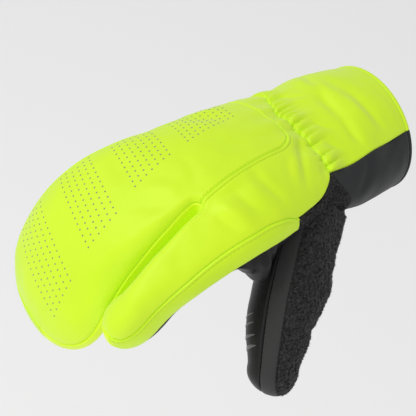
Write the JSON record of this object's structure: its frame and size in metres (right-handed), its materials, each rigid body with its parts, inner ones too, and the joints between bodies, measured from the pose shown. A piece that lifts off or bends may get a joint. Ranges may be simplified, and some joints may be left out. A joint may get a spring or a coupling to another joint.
{
  "type": "lobster claw mitt",
  "caption": "Split-finger winter mitt in the form of a worn right hand: a wide pod for the outer fingers, an index pod, a fleece-backed thumb and a gathered gauntlet cuff.",
  "frame": {"origin": "centre of the cuff mouth, where the wrist goes in", "axes": "+X towards the fingertips, +Y to the thumb side, +Z out of the back of the hand (up)"},
  "size_m": [0.261, 0.183, 0.1194],
  "materials": {
    "neon_shell": "bright yellow-green softshell cloth, matt, fine weave",
    "neon_strip": "the same cloth on the side strips, slightly darker",
    "palm_leather": "black synthetic leather, low sheen",
    "cuff_cloth": "black softshell cloth, matt",
    "fleece": "black short-pile fleece",
    "thumb_strip": "smooth black softshell cloth"
  },
  "bodies": {
    "root": {"back_panel_fingers": "neon_shell", "back_panel_index": "neon_shell", "gauntlet_back": "neon_shell", "side_strip_outer": "neon_strip", "side_strip_slit": "neon_strip", "side_strip_index": "neon_strip", "palm_panel": "palm_leather", "gauntlet_palm": "cuff_cloth", "cuff_hem_back": "neon_shell", "cuff_hem_palm": "cuff_cloth", "thumb_fleece": "fleece", "thumb_gusset": "fleece", "thumb_side_strip": "thumb_strip", "thumb_pad": "palm_leather", "wrist_tab": "cuff_cloth"}
  },
  "joints": []
}
